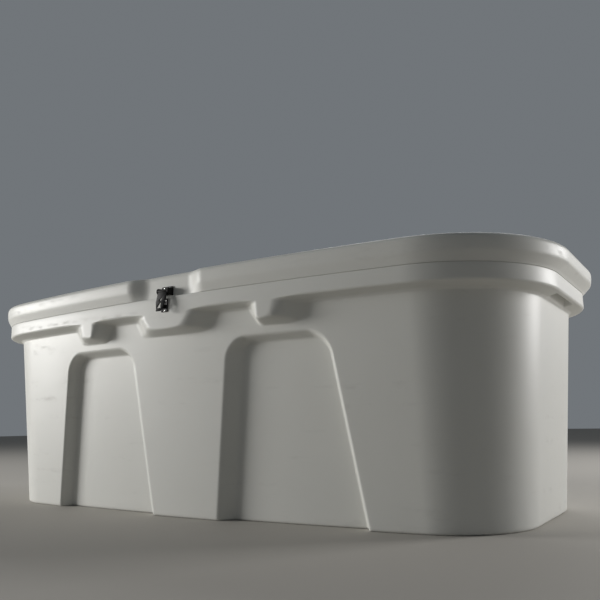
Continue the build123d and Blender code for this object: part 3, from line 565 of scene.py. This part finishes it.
def tub_offset(z):
    """Offset of the tub's inside face: upright at the top, then leaning in with the walls."""
    return TUB_EDGE[0] - TUB_EDGE[1] - SLOPE * max(0.0, TUB_UPRIGHT - z)


def tub_point(foot, row):
    """Point of the tub's skin, from its rolled top edge down the wall and in over the floor."""
    stretch, t = row
    x, y, out_x, out_y = foot
    if stretch == "edge":
        z, offset = RIM_TOP, TUB_EDGE[0] - TUB_EDGE[1] * t
    elif stretch == "wall":
        z = t
        offset = tub_offset(z)
    elif stretch == "round":
        turn = t * pi / 2
        z = TUB_FLOOR + TUB_ROUND * (1 - sin(turn))
        offset = tub_offset(TUB_FLOOR + TUB_ROUND) - TUB_ROUND * (1 - cos(turn))
    else:
        z = TUB_FLOOR
        offset = tub_offset(TUB_FLOOR + TUB_ROUND) - TUB_ROUND - TUB_FLOOR_IN * t
    return x + out_x * offset, y + out_y * offset, z


tub_rows = [("edge", 0.0), ("edge", 0.7), ("edge", 1.0)]
tub_rows += [("wall", z) for z in (490, 480, TUB_UPRIGHT, 440, 380, 300, 220, 140, 80)]
tub_rows += [("round", i / 6) for i in range(7)]
tub_rows += [("floor", 0.5), ("floor", 1.0)]
tub_skin = skin_mesh("tub_skin", plan_columns(12.0, 12.0, 12.0), tub_rows, tub_point, False, True)
thicken(tub_skin, TUB_SKIN)
tub_skin.data.materials.append(liner_skin)

# The drain's way is bored through both walls at the foot of the left end.
way = bpy.data.objects.new("drain_way_cutter", bpy.data.meshes.new("drain_way_cutter"))
work = bmesh.new()
bmesh.ops.create_cone(
    work, cap_ends=True, segments=48, radius1=DRAIN_BORE * MM, radius2=DRAIN_BORE * MM, depth=0.2,
    matrix=Matrix.Translation((-0.69, 0.0, DRAIN_Z * MM)) @ Matrix.Rotation(pi / 2, 4, "Y"),
)
work.to_mesh(way.data)
work.free()
bpy.context.scene.collection.objects.link(way)
for walled in (tub_skin, body_skin):
    bore = walled.modifiers.new("drain_way", "BOOLEAN")
    bore.operation = "DIFFERENCE"
    bore.solver = "EXACT"
    bore.object = way
    bpy.context.view_layer.update()
    bored = bpy.data.meshes.new_from_object(
        walled.evaluated_get(bpy.context.evaluated_depsgraph_get())
    )
    walled.modifiers.clear()
    walled.data = bored
bpy.data.objects.remove(way)
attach(tub_skin, "body")
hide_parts("body_liner")
lid_pan = softened("lid_liner", "lid_pan", 1.2, liner_skin)

# ---------------------------------------------------------------- foam and its plugs
# Pale yellow poured foam fills the walls and the lid; two grey discs close the holes under the
# body that it was poured through.
foam = bpy.data.materials.new("poured_foam")
foam.use_nodes = True
shader = foam.node_tree.nodes["Principled BSDF"]
shader.inputs["Roughness"].default_value = 0.9
cells = foam.node_tree.nodes.new("ShaderNodeTexVoronoi")
cells.inputs["Scale"].default_value = 420
place = foam.node_tree.nodes.new("ShaderNodeTexCoord")
foam.node_tree.links.new(place.outputs["Object"], cells.inputs["Vector"])
pores = foam.node_tree.nodes.new("ShaderNodeBump")
pores.inputs["Distance"].default_value = 0.0006
foam.node_tree.links.new(cells.outputs["Distance"], pores.inputs["Height"])
foam.node_tree.links.new(pores.outputs["Normal"], shader.inputs["Normal"])
hue = foam.node_tree.nodes.new("ShaderNodeValToRGB")
hue.color_ramp.elements[0].color = (0.52, 0.42, 0.20, 1)
hue.color_ramp.elements[1].color = (0.68, 0.58, 0.33, 1)
foam.node_tree.links.new(cells.outputs["Distance"], hue.inputs["Fac"])
foam.node_tree.links.new(hue.outputs["Color"], shader.inputs["Base Color"])


def finish_cad(finish, *nodes):
    """Gives CAD pieces that keep their own shape their finish."""
    for node in nodes:
        kept = frame["nodes"][node].data
        kept.materials.clear()
        kept.materials.append(finish)


finish_cad(foam, "body_foam", "lid_foam")


def fine_finish(
    name, colour, deep, roughness, scale, stretch, bump, metal=0.0, wear=None, shine=0.5
):
    """Plain hard finish: cloudy colour, uneven gloss and a fine bump, worn where wear is given."""
    made = bpy.data.materials.new(name)
    made.use_nodes = True
    tree = made.node_tree
    shader = tree.nodes["Principled BSDF"]
    shader.inputs["Metallic"].default_value = metal
    shader.inputs["Specular IOR Level"].default_value = shine
    place = tree.nodes.new("ShaderNodeTexCoord")
    sized = tree.nodes.new("ShaderNodeMapping")
    sized.inputs["Scale"].default_value = stretch
    tree.links.new(place.outputs["Object"], sized.inputs["Vector"])
    grain = tree.nodes.new("ShaderNodeTexNoise")
    grain.inputs["Scale"].default_value = scale
    grain.inputs["Detail"].default_value = 4
    tree.links.new(sized.outputs["Vector"], grain.inputs["Vector"])
    clouds = tree.nodes.new("ShaderNodeTexNoise")
    clouds.inputs["Scale"].default_value = 90
    clouds.inputs["Detail"].default_value = 3
    tree.links.new(place.outputs["Object"], clouds.inputs["Vector"])
    tint = tree.nodes.new("ShaderNodeValToRGB")
    tint.color_ramp.elements[0].position = 0.35
    tint.color_ramp.elements[1].position = 0.68
    tint.color_ramp.elements[0].color = (*colour, 1)
    tint.color_ramp.elements[1].color = (*deep, 1)
    if wear:
        rubbed = tint.color_ramp.elements.new(0.74)
        rubbed.color = (*wear, 1)
    tree.links.new(clouds.outputs["Fac"], tint.inputs["Fac"])
    tree.links.new(tint.outputs["Color"], shader.inputs["Base Color"])
    gloss = tree.nodes.new("ShaderNodeMapRange")
    gloss.inputs["From Min"].default_value = 0.3
    gloss.inputs["From Max"].default_value = 0.7
    gloss.inputs["To Min"].default_value = roughness - 0.06
    gloss.inputs["To Max"].default_value = roughness + 0.10
    tree.links.new(grain.outputs["Fac"], gloss.inputs["Value"])
    tree.links.new(gloss.outputs["Result"], shader.inputs["Roughness"])
    relief = tree.nodes.new("ShaderNodeBump")
    relief.inputs["Distance"].default_value = bump * MM
    relief.inputs["Strength"].default_value = 0.6
    tree.links.new(grain.outputs["Fac"], relief.inputs["Height"])
    tree.links.new(relief.outputs["Normal"], shader.inputs["Normal"])
    return made


# ---------------------------------------------------------------- seals and foam plugs
# Soft dark rubber with a dull bloom: the lid's gasket, the drain's seal and the plug's washer.
seal_rubber = fine_finish(
    "seal_rubber", (0.020, 0.020, 0.021), (0.040, 0.040, 0.041), 0.62, 700, (1, 1, 1), 0.06
)
gasket = softened("lid_gasket", "gasket_ring", 0.8, seal_rubber)
finish_cad(seal_rubber, "drain_gasket", "drain_plug_washer")
fitting_grey = fine_finish(
    "fitting_grey", (0.16, 0.165, 0.17), (0.21, 0.215, 0.22), 0.42, 600, (1, 1, 1), 0.04
)
finish_cad(fitting_grey, "foam_fill_plugs", "drain_nut")

# ---------------------------------------------------------------- hinges
# Three stainless butt hinges, pressed and brushed along the chest, on pan-head screws.
brushed = fine_finish(
    "brushed_stainless", (0.55, 0.55, 0.56), (0.60, 0.60, 0.61), 0.30, 260, (0.06, 1, 1), 0.006,
    metal=1.0,
)
for side in ("left", "middle", "right"):
    for leaf in ("body", "lid"):
        plate = softened(f"hinge_{side}_{leaf}_leaf", f"hinge_{side}_{leaf}_plate", 0.4, brushed)
    finish_cad(brushed, f"hinge_{side}_pin")
for row in ("hinge_body_screws", "hinge_lid_screws"):
    heads = softened(row, row.replace("screws", "screw_heads"), 0.15, brushed)

# ---------------------------------------------------------------- hasp latch
# A small black-painted steel hasp hangs from a bracket on the lid over a staple on the rim.
# Its edges are broken, its paint a little uneven, and its screws are bright.
latch_paint = fine_finish(
    "latch_paint", (0.005, 0.005, 0.006), (0.010, 0.0095, 0.009), 0.50, 300, (1, 1, 1), 0.05,
    wear=(0.020, 0.018, 0.016), shine=0.22,
)
for node, name, width in (
    ("latch_hasp", "hasp_plate", 0.35),
    ("latch_bracket", "hasp_bracket", 0.35),
    ("latch_staple", "hasp_staple", 0.3),
):
    plate = softened(node, name, width, latch_paint)
finish_cad(latch_paint, "latch_pin")
bright = fine_finish(
    "bright_screw", (0.62, 0.61, 0.60), (0.74, 0.73, 0.72), 0.24, 400, (1, 1, 1), 0.02, metal=1.0
)
for row in ("latch_bracket_screws", "latch_staple_screws"):
    heads = softened(row, row.replace("screws", "screw_heads"), 0.12, bright)

# ---------------------------------------------------------------- drain
# A grey moulded fitting clamps the end wall, and a knurled plug with a grip bar screws into it.
for node, name in (("drain_fitting", "drain_flange"), ("drain_plug", "drain_plug_knob")):
    moulded = softened(node, name, 0.6, fitting_grey)

# ---------------------------------------------------------------- floor and light
# A pale plain floor against a dull grey-blue backdrop, which gives less light than it shows,
# with a low soft key light far off to the left, one from behind on the right, and a weak one
# high over the back.
floor_mesh = bpy.data.meshes.new("floor")
floor_mesh.from_pydata(
    [(-14, -14, 0), (14, -14, 0), (14, 14, 0), (-14, 14, 0)], [], [(0, 1, 2, 3)]
)
floor = bpy.data.objects.new("floor", floor_mesh)
bpy.context.scene.collection.objects.link(floor)
pale = bpy.data.materials.new("pale_floor")
pale.use_nodes = True
pale.node_tree.nodes["Principled BSDF"].inputs["Base Color"].default_value = (0.49, 0.465, 0.425, 1)
pale.node_tree.nodes["Principled BSDF"].inputs["Roughness"].default_value = 0.75
floor_mesh.materials.append(pale)

sky = bpy.data.worlds.new("sky")
bpy.context.scene.world = sky
sky.use_nodes = True
sky.node_tree.nodes["Background"].inputs["Color"].default_value = (0.165, 0.180, 0.194, 1)
seen = sky.node_tree.nodes.new("ShaderNodeLightPath")
dimmed = sky.node_tree.nodes.new("ShaderNodeMapRange")
dimmed.inputs["To Min"].default_value = 0.60        # what the backdrop gives as light
dimmed.inputs["To Max"].default_value = 1.0         # how bright it looks itself
sky.node_tree.links.new(seen.outputs["Is Camera Ray"], dimmed.inputs["Value"])
sky.node_tree.links.new(
    dimmed.outputs["Result"], sky.node_tree.nodes["Background"].inputs["Strength"]
)


def soft_light(name, place, target, size, power, colour):
    """Broad square lamp at place that points at target."""
    lamp = bpy.data.lights.new(name, "AREA")
    lamp.shape = "RECTANGLE"
    lamp.size, lamp.size_y = size
    lamp.energy = power
    lamp.color = colour
    holder = bpy.data.objects.new(name, lamp)
    aim = Vector(target) - Vector(place)
    holder.location = place
    holder.rotation_euler = aim.to_track_quat("-Z", "Y").to_euler()
    bpy.context.scene.collection.objects.link(holder)


soft_light("window_left", (-4.8, -2.5, 0.95), (-0.3, -0.3, 0.35), (1.9, 1.3), 222, (1.0, 0.99, 0.97))
soft_light("behind_right", (3.2, 2.6, 1.1), (0.8, 0.0, 0.4), (1.3, 1.3), 100, (1.0, 0.99, 0.98))
soft_light("above_behind", (-0.3, 2.2, 2.9), (0.0, 0.1, 0.5), (2.4, 1.4), 32, (0.98, 0.99, 1.0))

bpy.context.scene.view_settings.view_transform = "Standard"
